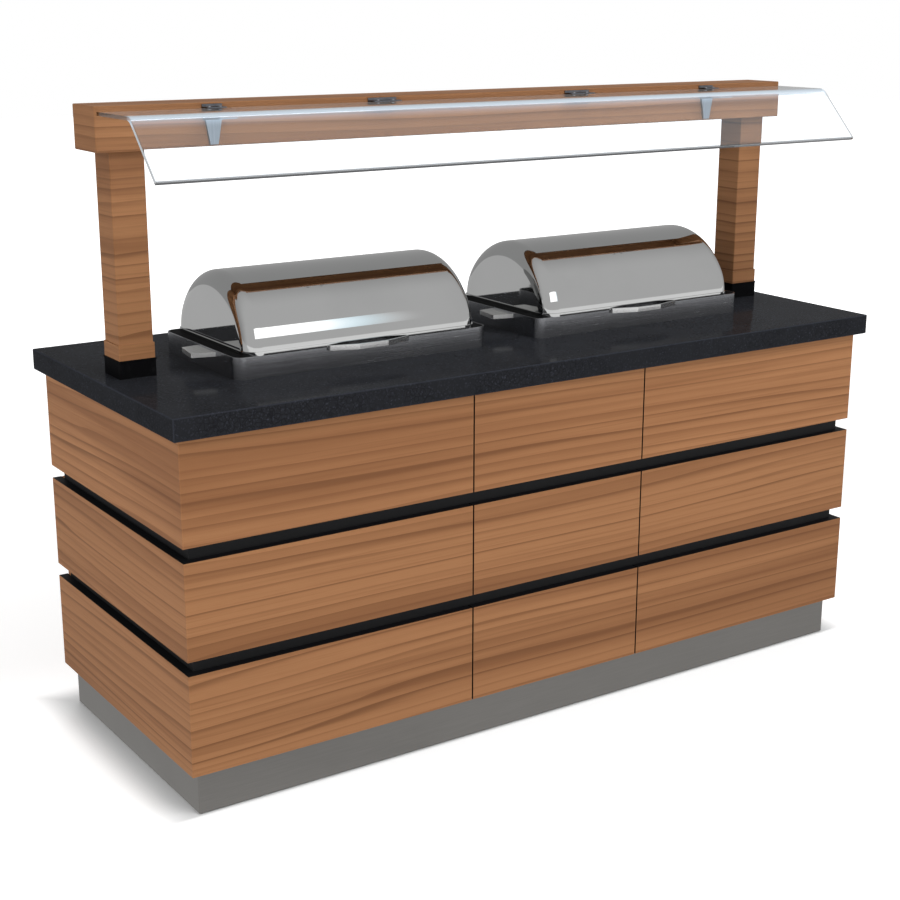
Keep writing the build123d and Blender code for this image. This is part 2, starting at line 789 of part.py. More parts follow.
def counter_nodes():
    """Every piece of the counter by its name."""
    rows = {
        "bottom": (bottom_row_z, bottom_row_height),
        "middle": (middle_row_z, middle_row_height),
        "top": (top_row_z, top_row_height),
    }
    sides = {"left": -1, "right": 1}
    nodes = {
        "plinth": plinth(),
        "levelling_feet": levelling_feet(),
        "base_board": base_board(),
        "front_board": front_board(),
        "service_shelf": service_shelf(),
        "centre_support": centre_support(),
        "worktop": worktop(),
        "rear_fascia": rear_fascia(),
        "hinge_fixed_leaves": hinge_fixed_leaves(),
        "control_plate": control_plate(),
        "pilot_lamps": group(pilot_lamp(side) for side in (-1, 1)),
        "cable_gland": cable_gland(),
        "beam": beam(),
        "glass_guard": glass_guard(),
        "glass_clips": glass_clips(),
    }
    for row, (z0, height) in rows.items():
        nodes[f"cladding_{row}_centre"] = centre_panel(z0, height)
        for name, side in sides.items():
            nodes[f"cladding_{row}_{name}"] = corner_panel(side, z0, height)
    for name, side in sides.items():
        nodes[f"side_board_{name}"] = side_board(side)
        nodes[f"partition_{name}"] = partition(side)
        nodes[f"door_{name}"] = door(side)
        nodes[f"door_{name}_hinge_leaves"] = door_hinge_leaves(side)
        nodes[f"thermostat_knob_{name}"] = thermostat_knob(side)
        nodes[f"rocker_switch_{name}"] = rocker_switch(side)
        nodes[f"post_{name}"] = post(side * post_x)
        nodes[f"post_shoe_{name}"] = post_shoe(side * post_x)
        nodes[f"glass_bracket_{name}"] = glass_bracket(side * bracket_x)
        nodes[f"well_skirt_{name}"] = well_skirt(side * well_x)
        nodes[f"well_frame_{name}"] = well_frame(side * well_x)
        nodes[f"water_tank_{name}"] = water_tank(side * well_x)
        nodes[f"heating_element_{name}"] = heating_element(side * well_x)
        nodes[f"food_pan_{name}"] = food_pan(side * well_x)
        nodes[f"lid_{name}"] = lid(side * well_x)
        nodes[f"lid_handle_{name}"] = lid_handle(side * well_x)
        nodes[f"ladle_rest_{name}"] = ladle_rest(side * well_x)
    return nodes


for node_name, shape in counter_nodes().items():
    export_step(shape, f"parts/{node_name}.step")
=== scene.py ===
"""Heated buffet counter: finishes, small details, floor, light and camera round its solids."""

import math

import bmesh
import bpy
from mathutils import Matrix, Vector


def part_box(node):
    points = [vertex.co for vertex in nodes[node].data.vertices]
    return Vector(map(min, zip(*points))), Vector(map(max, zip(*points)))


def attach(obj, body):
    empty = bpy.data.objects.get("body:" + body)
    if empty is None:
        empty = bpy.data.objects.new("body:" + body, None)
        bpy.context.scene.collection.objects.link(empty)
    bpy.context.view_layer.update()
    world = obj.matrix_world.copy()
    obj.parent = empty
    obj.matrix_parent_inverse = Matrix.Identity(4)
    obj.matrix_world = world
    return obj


bl_info = {
    "name": "Heated Buffet Counter",
    "version": (1, 0, 0),
    "blender": (4, 5, 0),
    "location": "3D View > Sidebar > Counter",
    "description": "Finishes and details of a timber buffet counter with two heated wells",
    "category": "Object",
}

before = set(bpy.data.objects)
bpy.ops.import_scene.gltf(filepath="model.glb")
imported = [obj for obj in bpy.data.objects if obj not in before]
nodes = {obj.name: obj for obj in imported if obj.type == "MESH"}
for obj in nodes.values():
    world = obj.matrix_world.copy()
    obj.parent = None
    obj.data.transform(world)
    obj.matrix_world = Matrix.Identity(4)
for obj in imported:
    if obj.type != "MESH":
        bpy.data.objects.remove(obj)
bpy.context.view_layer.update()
SIDES = {"left": -1, "right": 1}


# Sizes and colours that a user may change
class CounterTimber(bpy.types.PropertyGroup):
    light: bpy.props.FloatVectorProperty(
        name="Light Wood",
        description="Colour of the pale wood just after a growth line",
        default=(0.43, 0.204, 0.091),
        min=0,
        max=1,
        subtype="COLOR",
    )
    dark: bpy.props.FloatVectorProperty(
        name="Dark Wood",
        description="Colour of the wood just before a growth line",
        default=(0.225, 0.095, 0.04),
        min=0,
        max=1,
        subtype="COLOR",
    )
    line: bpy.props.FloatVectorProperty(
        name="Growth Line",
        description="Colour of the thin dark growth lines",
        default=(0.13, 0.053, 0.023),
        min=0,
        max=1,
        subtype="COLOR",
    )
    ring_width: bpy.props.FloatProperty(
        name="Ring Width",
        description="Mean distance between two growth lines",
        default=0.026,
        min=0.004,
        unit="LENGTH",
    )


class CounterStone(bpy.types.PropertyGroup):
    ground: bpy.props.FloatVectorProperty(
        name="Stone",
        description="Colour of the black ground of the granite",
        default=(0.0185, 0.0195, 0.0225),
        min=0,
        max=1,
        subtype="COLOR",
    )
    fleck: bpy.props.FloatVectorProperty(
        name="Fleck",
        description="Colour of the fine bluish flecks",
        default=(0.062, 0.068, 0.09),
        min=0,
        max=1,
        subtype="COLOR",
    )
    fleck_size: bpy.props.FloatProperty(
        name="Fleck Size",
        description="Mean size of a fleck",
        default=0.0035,
        min=0.0005,
        unit="LENGTH",
    )


class CounterSteel(bpy.types.PropertyGroup):
    lid: bpy.props.FloatVectorProperty(
        name="Lid",
        description="Colour of the mirror polished lids",
        default=(0.5, 0.503, 0.5),
        min=0,
        max=1,
        subtype="COLOR",
    )
    satin: bpy.props.FloatVectorProperty(
        name="Satin Steel",
        description="Colour of the satin steel of the skirts",
        default=(0.38, 0.385, 0.405),
        min=0,
        max=1,
        subtype="COLOR",
    )
    plinth: bpy.props.FloatVectorProperty(
        name="Plinth",
        description="Colour of the satin steel of the plinth",
        default=(0.26, 0.25, 0.237),
        min=0,
        max=1,
        subtype="COLOR",
    )


class CounterStage(bpy.types.PropertyGroup):
    floor_size: bpy.props.FloatProperty(
        name="Floor Size",
        description="Side of the square floor",
        default=40,
        min=4,
        unit="LENGTH",
    )
    key_power: bpy.props.FloatProperty(
        name="Key Light",
        description="Power of the large soft light in front and above",
        default=190,
        min=0,
        unit="POWER",
    )
    ambient: bpy.props.FloatProperty(
        name="Ambient",
        description="Strength of the even light from all round",
        default=0.47,
        min=0,
    )
    lens: bpy.props.FloatProperty(
        name="Lens",
        description="Focal length of the camera",
        default=64.38,
        min=10,
        unit="CAMERA",
    )


# Shader maths
class Amount:
    """A number that varies over a surface. Sums and products of it add Math nodes."""

    def __init__(self, finish, socket):
        self.finish = finish
        self.socket = socket

    def math(self, operation, *values):
        settings = {"operation": operation}
        maths = self.finish.node("ShaderNodeMath", settings, dict(enumerate(values)))
        return Amount(self.finish, maths.outputs[0])

    def __add__(self, other):
        return self.math("ADD", self, other)

    def __radd__(self, other):
        return self.math("ADD", other, self)

    def __sub__(self, other):
        return self.math("SUBTRACT", self, other)

    def __rsub__(self, other):
        return self.math("SUBTRACT", other, self)

    def __mul__(self, other):
        return self.math("MULTIPLY", self, other)

    def __rmul__(self, other):
        return self.math("MULTIPLY", other, self)

    def __truediv__(self, other):
        return self.math("DIVIDE", self, other)

    def __abs__(self):
        return self.math("ABSOLUTE", self)

    def sign(self):
        return self.math("SIGN", self)

    def floor(self):
        return self.math("FLOOR", self)

    def fraction(self):
        return self.math("FRACT", self)

    def least(self, other):
        return self.math("MINIMUM", self, other)

    def most(self, other):
        return self.math("MAXIMUM", self, other)

    def between(self, low, high):
        """0 below low, 1 above high, and a smooth rise between them."""
        rise = self.finish.node(
            "ShaderNodeMapRange",
            {"interpolation_type": "SMOOTHSTEP"},
            {"Value": self, "From Min": low, "From Max": high},
        )
        return Amount(self.finish, rise.outputs[0])


class Finish:
    """A material in the making. constants holds the sockets that are the same all over it."""

    def __init__(self, name, **constants):
        self.material = bpy.data.materials.new(name)
        self.material.use_nodes = True
        self.tree = self.material.node_tree
        self.shader = self.tree.nodes["Principled BSDF"]
        for socket, value in constants.items():
            label = socket.replace("_", " ").title().replace("Ior", "IOR")
            self.shader.inputs[label].default_value = value

    def node(self, kind, settings=None, inputs=None):
        """Any node: its settings first, then the values or links of its sockets."""
        made = self.tree.nodes.new(kind)
        settings = dict(settings or {})
        stops = settings.pop("stops", None)
        for name, value in settings.items():
            setattr(made, name, value)
        if stops:
            ramp = made.color_ramp
            while len(ramp.elements) < len(stops):
                ramp.elements.new(1)
            for element, (position, colour) in zip(ramp.elements, stops):
                element.position = position
                element.color = colour
        for name, value in (inputs or {}).items():
            self.put(made.inputs[name], value)
        return made

    def put(self, socket, value):
        """Links a socket to an Amount or another socket, or sets it to a plain value."""
        if isinstance(value, Amount):
            value = value.socket
        if isinstance(value, bpy.types.NodeSocket):
            self.tree.links.new(value, socket)
        elif socket.type == "RGBA" and len(value) == 3:
            socket.default_value = (*value, 1)
        else:
            socket.default_value = value

    def set(self, **sockets):
        """Puts values that vary over the surface into the shader."""
        for name, value in sockets.items():
            self.put(self.shader.inputs[name.replace("_", " ").title()], value)

    def place(self):
        """The point's place on the object, in metres."""
        return self.node("ShaderNodeTexCoord").outputs["Object"]

    def axes(self, vector):
        """The x, y and z of a vector."""
        split = self.node("ShaderNodeSeparateXYZ", None, {0: vector})
        return [Amount(self, output) for output in split.outputs]

    def join(self, x, y, z):
        """The vector of three numbers."""
        return self.node("ShaderNodeCombineXYZ", None, {0: x, 1: y, 2: z}).outputs[0]

    def stretch(self, vector, scale, shift=(0, 0, 0)):
        """The vector times scale plus shift."""
        inputs = {0: vector, 1: scale, 2: shift}
        return self.node("ShaderNodeVectorMath", {"operation": "MULTIPLY_ADD"}, inputs).outputs[0]

    def noise(self, vector, scale, detail=2, roughness=0.5):
        """Soft noise from 0 to 1, mostly near the middle."""
        inputs = {"Vector": vector, "Scale": scale, "Detail": detail, "Roughness": roughness}
        return Amount(self, self.node("ShaderNodeTexNoise", None, inputs).outputs[0])

    def cells(self, vector, scale, output="Distance", feature="F1"):
        """One output of a pattern of random cells."""
        inputs = {"Vector": vector, "Scale": scale}
        made = self.node("ShaderNodeTexVoronoi", {"feature": feature}, inputs)
        return Amount(self, made.outputs[output])

    def chance(self, value):
        """A random number from 0 to 1 that is the same wherever value is."""
        made = self.node("ShaderNodeTexWhiteNoise", {"noise_dimensions": "1D"}, {"W": value})
        return Amount(self, made.outputs[0])

    def blend(self, share, first, second):
        """The first colour where share is 0 and the second where it is 1."""
        inputs = {0: share, 6: first, 7: second}
        return self.node("ShaderNodeMix", {"data_type": "RGBA"}, inputs).outputs[2]

    def ramp(self, value, *stops):
        """The colour that a value has among stops, which are positions with colours."""
        return self.node("ShaderNodeValToRGB", {"stops": stops}, {0: value}).outputs[0]

    def seen_by(self):
        """1 for rays straight from the eye or through glass, and 1 for mirrored rays."""
        rays = self.node("ShaderNodeLightPath").outputs
        kinds = ("Camera", "Transmission", "Glossy")
        eye, glass, mirror = (Amount(self, rays[f"Is {kind} Ray"]) for kind in kinds)
        direct = eye.most(glass)
        return direct, mirror * (1 - direct)

    def relief(self, height, depth):
        """Lets height, from 0 to 1, raise the surface by up to depth."""
        inputs = {"Height": height, "Distance": depth, "Strength": 1.0}
        self.set(normal=self.node("ShaderNodeBump", None, inputs).outputs[0])

    def facing(self, axis):
        """1 on faces that look straight along x, y or z, either way."""
        normal = self.node("ShaderNodeNewGeometry").outputs["Normal"]
        return abs(self.axes(normal)["xyz".index(axis)]).between(0.4, 0.6)

    def near_edge(self, low, high, reach):
        """1 on the edges of the box from low to high, falling to 0 at reach."""
        gaps = []
        for place, start, end in zip(self.axes(self.place()), low, high):
            gaps.append(abs(place - start).least(abs(place - end)))
        x, y, z = gaps
        middle = x.least(y).most(x.most(y).least(z))
        return 1 - middle.between(0, reach)

    def shine(self, colour, strength):
        """A shader that gives off its own light."""
        inputs = {"Color": colour, "Strength": strength}
        return self.node("ShaderNodeEmission", None, inputs).outputs[0]

    def show(self, shader):
        """Makes another shader the one that is seen."""
        self.put(self.tree.nodes["Material Output"].inputs[0], shader)


class Sky(Finish):
    """The world, made with the same nodes as a material."""

    def __init__(self, name):
        """Unlike a material, a world has a Background shader."""
        self.world = bpy.data.worlds.new(name)
        self.world.use_nodes = True
        self.tree = self.world.node_tree
        self.shader = self.tree.nodes["Background"]


# Finishes
WHITE = (1, 1, 1)
EDGE_BLACK = (0.006, 0.006, 0.007)
CRACK_BLACK = (0.004, 0.004, 0.005)
COAT_BLACK = (0.004, 0.004, 0.0045)
GLASS_BEND = -0.21  # The y at which the glass turns down
OUTER_SEAM = 0.9  # Beyond this x, the panels' faces along x are the counter's ends and no seams


def timber(name, wrap, seed, edges=None, shade=1.0, black_edges=False):
    """Satin veneer with level grain.

    wrap is the y of the face from which the grain folds round the corners, seed picks the piece
    of veneer, edges is the box along whose edges the veneer is lighter, for wear and as a painted
    edge highlight, and shade scales the colours down as a painted shade. With black_edges the
    level faces are black, a painted shade in the grooves between the rows, and the seams are
    black.
    """
    wood = bpy.context.scene.counter_timber
    colours = (wood.light, wood.dark, wood.line)
    # Scaling the colours by shade gives a painted shade
    light, dark, line = ([shade * part for part in colour] for colour in colours)
    finish = Finish(name, specular_ior_level=0.12)
    x, y, z = finish.axes(finish.place())
    level = finish.facing("z")
    sideways = finish.facing("x")
    along = x + x.sign() * (y - wrap) * sideways + seed * 7.3
    height = z + y * level + seed
    spot = finish.join(along, height, y * 0.4 + seed)
    drift = finish.noise(finish.stretch(spot, (0.45, 1.8, 1)), 1, 1) - 0.5
    sway = finish.noise(finish.stretch(spot, (1.6, 9, 1)), 1, 1) - 0.5
    uneven = finish.noise(finish.stretch(spot, (0.25, 26, 1)), 1, 1) - 0.5
    rings = (height + drift * 0.1 + sway * 0.01) / wood.ring_width + uneven * 1.6
    phase = rings.fraction()
    lot = finish.chance(rings.floor())
    other_lot = finish.chance(rings.floor() + 0.5)
    tone = finish.blend(phase * phase * (0.1 + lot * 0.7), light, dark)
    band = finish.noise(finish.stretch(spot, (0.35, 13, 1), (3, 0, 0)), 1, 2)
    tone = finish.blend(band.between(0.44, 0.7) * 0.7, tone, dark)
    tone = finish.blend((1 - band).between(0.52, 0.78) * 0.45, tone, light)
    streak = finish.noise(finish.stretch(spot, (0.9, 85, 2)), 1, 3, 0.6)
    tone = finish.blend(streak.between(0.5, 0.74) * 0.45, tone, dark)
    tone = finish.blend((1 - streak).between(0.56, 0.8) * 0.3, tone, light)
    edge = phase.between(0.66, 0.94) * (1 - phase.between(0.95, 1.0))
    tone = finish.blend(edge * other_lot * other_lot * 0.62, tone, line)
    fibre = finish.noise(finish.stretch(spot, (7, 520, 20)), 1, 3, 0.6)
    pore = finish.noise(finish.stretch(spot, (22, 1500, 40)), 1, 2, 0.5)
    tone = finish.blend(fibre.between(0.4, 0.8) * 0.22, tone, dark)
    tone = finish.blend(pore.between(0.6, 0.78) * 0.2, tone, line)
    knots = finish.cells(finish.stretch(spot, (1.1, 9, 1), (0.2, 0.4, 0)), 1)
    tone = finish.blend((1 - knots.between(0.02, 0.06)) * 0.6, tone, line)
    if edges:
        # Lighter along the box's edges, for wear and as a painted edge highlight
        worn_and_highlit = finish.near_edge(*edges, 0.0025)
        tone = finish.blend(worn_and_highlit * 0.25, tone, light)
    # Level faces black as a painted shade in the grooves; the seams are black joints
    if black_edges:
        seam = sideways * (1 - abs(x).between(OUTER_SEAM, OUTER_SEAM + 0.01))
        tone = finish.blend(level.most(seam), tone, EDGE_BLACK)
    finish.set(base_color=tone, roughness=0.5 + fibre * 0.14)
    finish.relief(fibre * 0.6 + pore * 0.4, 0.0002)
    return finish.material


def granite():
    """Polished near-black granite with fine bluish flecks."""
    stone = bpy.context.scene.counter_stone
    finish = Finish("Polished_granite", ior=1.03)
    spot = finish.place()
    size = stone.fleck_size
    grain = finish.cells(spot, 1 / size, "Color")
    fine = finish.noise(spot, 0.9 / size, 3, 0.6)
    cloud = finish.noise(spot, 9, 3)
    crack = finish.cells(spot, 0.3 / size, "Distance", "DISTANCE_TO_EDGE")
    fleck = grain.between(0.55, 1) * fine.between(0.42, 0.66)
    tone = finish.blend(fleck * (0.35 + cloud * 0.5), stone.ground, stone.fleck)
    cracks = (1 - crack.between(0, 0.13)) * cloud.between(0.35, 0.6)
    tone = finish.blend(cracks * 0.4, tone, CRACK_BLACK)
    low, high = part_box("worktop")
    # Lighter and rougher along the worktop's edges, for wear and as a painted edge highlight
    worn_and_highlit = finish.near_edge(low, high, 0.004)
    tone = finish.blend(worn_and_highlit * 0.35, tone, stone.fleck)
    finish.set(base_color=tone, roughness=0.06 + fine * 0.08 + worn_and_highlit * 0.2)
    return finish.material


def satin(name, colour, roughness, along, brush=0.2):
    """Brushed or satin metal. Its brush lines run along x, y or z and are darker by brush."""
    finish = Finish(name, metallic=1.0)
    scale = [900] * 3
    scale["xyz".index(along)] = 11
    spot = finish.place()
    lines = finish.noise(finish.stretch(spot, scale), 1, 3, 0.6)
    cloud = finish.noise(spot, 6, 2)
    dark = [(1 - brush) * part for part in colour]
    light = [min(1, (1 + 0.6 * brush) * part) for part in colour]
    tone = finish.blend(lines.between(0.25, 0.75), dark, light)
    tone = finish.blend(cloud.between(0.35, 0.75) * 0.3, tone, dark)
    finish.set(base_color=tone, roughness=roughness - 0.05 + lines * 0.1 + cloud * 0.06)
    finish.relief(lines, 0.00004)
    return finish.material


def mirror_steel():
    """Polished stainless steel with faint wiping marks."""
    steel = bpy.context.scene.counter_steel
    finish = Finish("Mirror_polished_steel", metallic=1.0)
    spot = finish.place()
    haze = finish.noise(spot, 5, 3)
    wipe = finish.noise(finish.stretch(spot, (6, 90, 60)), 1, 3, 0.6)
    dark = [0.92 * part for part in steel.lid]
    tone = finish.blend(haze.between(0.4, 0.75) * 0.6, steel.lid, dark)
    marks = haze.between(0.45, 0.8) * 0.05
    finish.set(base_color=tone, roughness=0.035 + marks + wipe.between(0.62, 0.8) * 0.03)
    return finish.material


def powder_coat():
    """Black powder coat, a little rubbed."""
    finish = Finish("Black_powder_coat", ior=1.05)
    spot = finish.place()
    peel = finish.noise(spot, 700, 2)
    rub = finish.noise(spot, 24, 4, 0.65)
    rubbed = [part + 0.012 for part in COAT_BLACK]
    tone = finish.blend(rub.between(0.5, 0.8) * 0.7, COAT_BLACK, rubbed)
    finish.set(base_color=tone, roughness=0.34 + peel * 0.14 + rub * 0.1)
    finish.relief(peel, 0.00012)
    return finish.material


def black_board():
    """Matt black laminate of the carcass."""
    finish = Finish("Black_laminated_board", specular_ior_level=0.2)
    spot = finish.place()
    weave = finish.noise(finish.stretch(spot, (60, 60, 420)), 1, 2)
    dust = finish.noise(spot, 9, 4, 0.6)
    tone = finish.blend(weave, (0.0075, 0.0078, 0.0085), (0.0125, 0.0125, 0.0135))
    tone = finish.blend(dust.between(0.5, 0.85) * 0.4, tone, (0.02, 0.02, 0.021))
    finish.set(base_color=tone, roughness=0.5 + weave * 0.18)
    finish.relief(weave, 0.0001)
    return finish.material


def moulded(name, colour, roughness):
    """Moulded plastic with a fine spark texture."""
    finish = Finish(name)
    spot = finish.place()
    spark = finish.noise(spot, 1400, 2)
    patch = finish.noise(spot, 60, 2)
    light = [min(1, part * 1.25 + 0.004) for part in colour]
    tone = finish.blend(patch, colour, light)
    finish.set(base_color=tone, roughness=roughness + spark * 0.12)
    finish.relief(spark, 0.00005)
    return finish.material


def heated_metal():
    """Steel tube with blue and brown heat tints."""
    finish = Finish("Heat_tinted_tube", metallic=1.0)
    spot = finish.place()
    tint = finish.noise(spot, 14, 3)
    scale = finish.noise(spot, 500, 3)
    tone = finish.ramp(
        tint,
        (0.3, (0.12, 0.1, 0.09, 1)),
        (0.5, (0.2, 0.15, 0.12, 1)),
        (0.7, (0.11, 0.12, 0.16, 1)),
    )
    finish.set(base_color=tone, roughness=0.4 + scale * 0.2)
    finish.relief(scale, 0.0001)
    return finish.material


def clear_glass():
    """Clear safety glass, faintly blue, with a trace of dust and dark edges of painted shade.

    Its bright bend is a painted highlight and its slope shows a faint painted reflection, both
    given off as light.
    """
    finish = Finish("Clear_safety_glass", ior=1.5, transmission_weight=1.0, emission_strength=1.0)
    spot = finish.place()
    x, y, z = finish.axes(spot)
    low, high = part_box("glass_guard")
    dust = finish.noise(spot, 9, 3)
    tone = finish.blend(dust, (0.93, 0.965, 1.0), (0.945, 0.975, 1.0))
    # Darker along the foot and the ends, a painted shade for the dark look of glass edges
    foot = 1 - z.between(low.z + 0.004, low.z + 0.006)
    ends = abs(x).between(high.x - 0.003, high.x - 0.001)
    tone = finish.blend(foot.most(ends * 0.5), tone, (0.08, 0.08, 0.085))
    # The sloped pane gives off a faint bluish light as a painted reflection
    slope = (1 - y.between(GLASS_BEND - 0.014, GLASS_BEND - 0.002)) * (1 - foot)
    # The bend gives off a bluish white light as a painted highlight
    front = y.between(GLASS_BEND - 0.018, GLASS_BEND - 0.004)
    bend = front * (1 - y.between(GLASS_BEND + 0.004, GLASS_BEND + 0.016))
    painted_reflection = finish.blend(slope, (0, 0, 0), (0.001, 0.009, 0.014))
    painted_highlight = finish.blend(bend, painted_reflection, (0.1, 0.14, 0.18))
    finish.set(base_color=tone, roughness=dust.between(0.5, 0.9) * 0.004, emission_color=painted_highlight)
    return finish.material


def dress(material, *names):
    """Gives CAD nodes a material."""
    for name in names:
        node = nodes[name]
        node.data.materials.clear()
        node.data.materials.append(material)


def both(name):
    """The names of the left and the right node of a pair."""
    return [f"{name}_{side}" for side in SIDES]


# Small pieces. In their own frame, x is right, y is up and z looks out of the surface they lie on
STAFF = Matrix(((-1, 0, 0, 0), (0, 0, 1, 0), (0, 1, 0, 0), (0, 0, 0, 1)))
PRINT = 0.0001
CLIP_THICKNESS = 0.0025
CLIP_SCREW_X = (0.704, 0.73, 0.265, 0.305)  # Two on each clip, and the same on the left
CLIP_SCREW_Y = -0.056
HINGE_LEAF_THICKNESS = 0.0015
HINGE_FEET = (0.154, 0.48)  # The lower ends of each door's two hinges
HINGE_SCREW_RISES = (0.01, 0.03, 0.05)
DOOR_LEAF_X = 0.945
FIXED_LEAF_X = 0.969
PLATE_SCREW_INSET = 0.01
DIAL_STEP = math.pi / 6
TICK_RADIUS = 0.0245
NUMBER_RADIUS = 0.0335
POINTER_RADIUS = 0.007
ROCKER_AXIS = (0.065, 0.376, 0.74)  # Of the right one. The left one mirrors it
ROCKER_TILT = math.radians(9)
ROCKER_HALF = 0.0135  # Half the height of a key
ROCKER_DISH = 0.0025  # How far the middle of a key stands out from its axis
ROCKER_RISE = 0.005  # How far its ends do


def staff_side(x, y, z):
    """The frame of a piece at a place on a surface that the staff see."""
    return Matrix.Translation((x, y, z)) @ STAFF


def up(distance):
    """A move up in a small piece's own frame."""
    return Matrix.Translation((0, distance, 0))


def add_object(name, shape, material):
    """Makes a shape an object of the scene."""
    mesh = bpy.data.meshes.new(name)
    shape.to_mesh(mesh)
    shape.free()
    mesh.materials.append(material)
    made = bpy.data.objects.new(name, mesh)
    bpy.context.scene.collection.objects.link(made)
    return made


def piece(name, shape, material, body):
    """Makes a piece of a shape and lets it ride on a body."""
    bmesh.ops.recalc_face_normals(shape, faces=shape.faces)
    made = add_object(name, shape, material)
    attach(made, body)


def highest_face(shape):
    """The face whose middle is the highest."""
    return max(shape.faces, key=lambda face: face.calc_center_median().z)


def screw_head(radius, height):
    """A button head with a hexagonal socket, its seat at the origin."""
    head = bmesh.new()
    sizes = {"radius1": radius, "radius2": radius * 0.96, "depth": height}
    bmesh.ops.create_cone(head, cap_ends=True, segments=24, **sizes)
    bmesh.ops.translate(head, vec=(0, 0, height / 2), verts=head.verts)
    bmesh.ops.bevel(
        head,
        geom=list(highest_face(head).edges),
        offset=height * 0.7,
        segments=3,
        profile=0.5,
        affect="EDGES",
        material=-1,
    )
    socket = highest_face(head)
    bmesh.ops.inset_individual(head, faces=[socket], thickness=radius * 0.3)
    for corner in socket.verts:
        turn = math.atan2(corner.co.y, corner.co.x) % (math.pi / 3) - math.pi / 6
        corner.co.xy = corner.co.xy * math.cos(math.pi / 6) / math.cos(turn)
    floor = bmesh.ops.extrude_discrete_faces(head, faces=[socket])["faces"][0]
    bmesh.ops.translate(head, vec=(0, 0, -height * 0.6), verts=floor.verts)
    mesh = bpy.data.meshes.new("Screw_head")
    head.to_mesh(mesh)
    head.free()
    return mesh


def gather(mesh, places):
    """One shape with a copy of a mesh at each place."""
    shape = bmesh.new()
    for place in places:
        copy_in(shape, mesh, place)
    return shape


def copy_in(shape, mesh, place):
    """Adds a copy of a mesh to a shape, at its place."""
    start = len(shape.verts)
    shape.from_mesh(mesh)
    shape.verts.ensure_lookup_table()
    bmesh.ops.transform(shape, matrix=place, verts=shape.verts[start:])


def raise_print(shape, faces, place):
    """Gives flat faces the thickness of a layer of paint and moves them to their place."""
    made = bmesh.ops.extrude_face_region(shape, geom=faces)["geom"]
    top = [vert for vert in made if isinstance(vert, bmesh.types.BMVert)]
    bmesh.ops.translate(shape, vec=(0, 0, PRINT), verts=top)
    linked = {vert for corner in top for edge in corner.link_edges for vert in edge.verts}
    bmesh.ops.transform(shape, matrix=place, verts=list(linked))


def stroke(shape, place, length, width):
    """A printed line with round ends, up from the origin."""
    verts = bmesh.ops.create_circle(shape, cap_ends=True, segments=16, radius=width / 2)["verts"]
    for vert in verts:
        if vert.co.y > width / 100:
            vert.co.y += length
    raise_print(shape, list(verts[0].link_faces), place)


def ring(shape, place, radius, width):
    """A printed circle round the origin."""
    verts = bmesh.ops.create_circle(shape, cap_ends=True, segments=32, radius=radius)["verts"]
    middle = verts[0].link_faces[0]
    band = bmesh.ops.inset_individual(shape, faces=[middle], thickness=width)["faces"]
    bmesh.ops.delete(shape, geom=[middle], context="FACES_ONLY")
    raise_print(shape, band, place)


def numeral(shape, place, text, size):
    """A printed number."""
    letters = bpy.data.curves.new("Numeral", "FONT")
    letters.body = text
    letters.size = size
    letters.align_x = "CENTER"
    letters.align_y = "CENTER"
    letters.extrude = PRINT
    carrier = bpy.data.objects.new("Numeral", letters)
    copy_in(shape, bpy.data.meshes.new_from_object(carrier), place)
    bpy.data.objects.remove(carrier)


# Operators
# Painted shade: the veneer colours of each row of cladding are scaled by these
ROW_SHADES = {"bottom": 0.86, "middle": 0.86, "top": 0.94}


class CounterOperator(bpy.types.Operator):
    """Shared base of the counter's operators."""

    bl_options = {"REGISTER", "UNDO"}


class COUNTER_OT_timber(CounterOperator):
    """Veneer of the cladding, doors, fascia, posts and beam"""

    bl_idname = "counter.timber"
    bl_label = "Timber"

    def execute(self, context):
        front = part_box("cladding_top_centre")[0].y
        for number, (row, shade) in enumerate(ROW_SHADES.items()):
            for column in ("left", "centre", "right"):
                panel = f"cladding_{row}_{column}"
                veneer = timber(
                    f"Veneer_{row}_{column}",
                    wrap=front,
                    seed=number * 3.7,
                    edges=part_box(panel),
                    shade=shade,
                    black_edges=True,
                )
                dress(veneer, panel)
        for side, sign in SIDES.items():
            door = f"door_{side}"
            dress(timber(f"Veneer_{door}", wrap=0, seed=11 + sign, edges=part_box(door)), door)
            post = f"post_{side}"
            # The posts' veneer is darkened as a painted shade, the right one more
            shade = 0.7 - sign * 0.04
            dress(timber(f"Veneer_{post}", wrap=0, seed=21 + sign * 2.3, shade=shade), post)
        fascia = timber("Veneer_fascia", wrap=0, seed=14, edges=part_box("rear_fascia"))
        dress(fascia, "rear_fascia")
        # The beam's veneer is darkened as a painted shade
        dress(timber("Veneer_beam", wrap=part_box("beam")[0].y, seed=31, shade=0.72), "beam")
        return {"FINISHED"}


class COUNTER_OT_carcass(CounterOperator):
    """Black carcass boards, the plinth and its feet"""

    bl_idname = "counter.carcass"
    bl_label = "Carcass and Plinth"

    def execute(self, context):
        steel = context.scene.counter_steel
        boards = ("base_board", "front_board", "service_shelf", "centre_support")
        dress(black_board(), *boards, *both("side_board"), *both("partition"))
        dress(satin("Satin_plinth_steel", steel.plinth, 0.45, "x", brush=0.08), "plinth")
        dress(satin("Zinc_plated_feet", (0.35, 0.36, 0.36), 0.4, "z"), "levelling_feet")
        return {"FINISHED"}


class COUNTER_OT_worktop(CounterOperator):
    """Granite worktop"""

    bl_idname = "counter.worktop"
    bl_label = "Worktop"

    def execute(self, context):
        dress(granite(), "worktop")
        return {"FINISHED"}


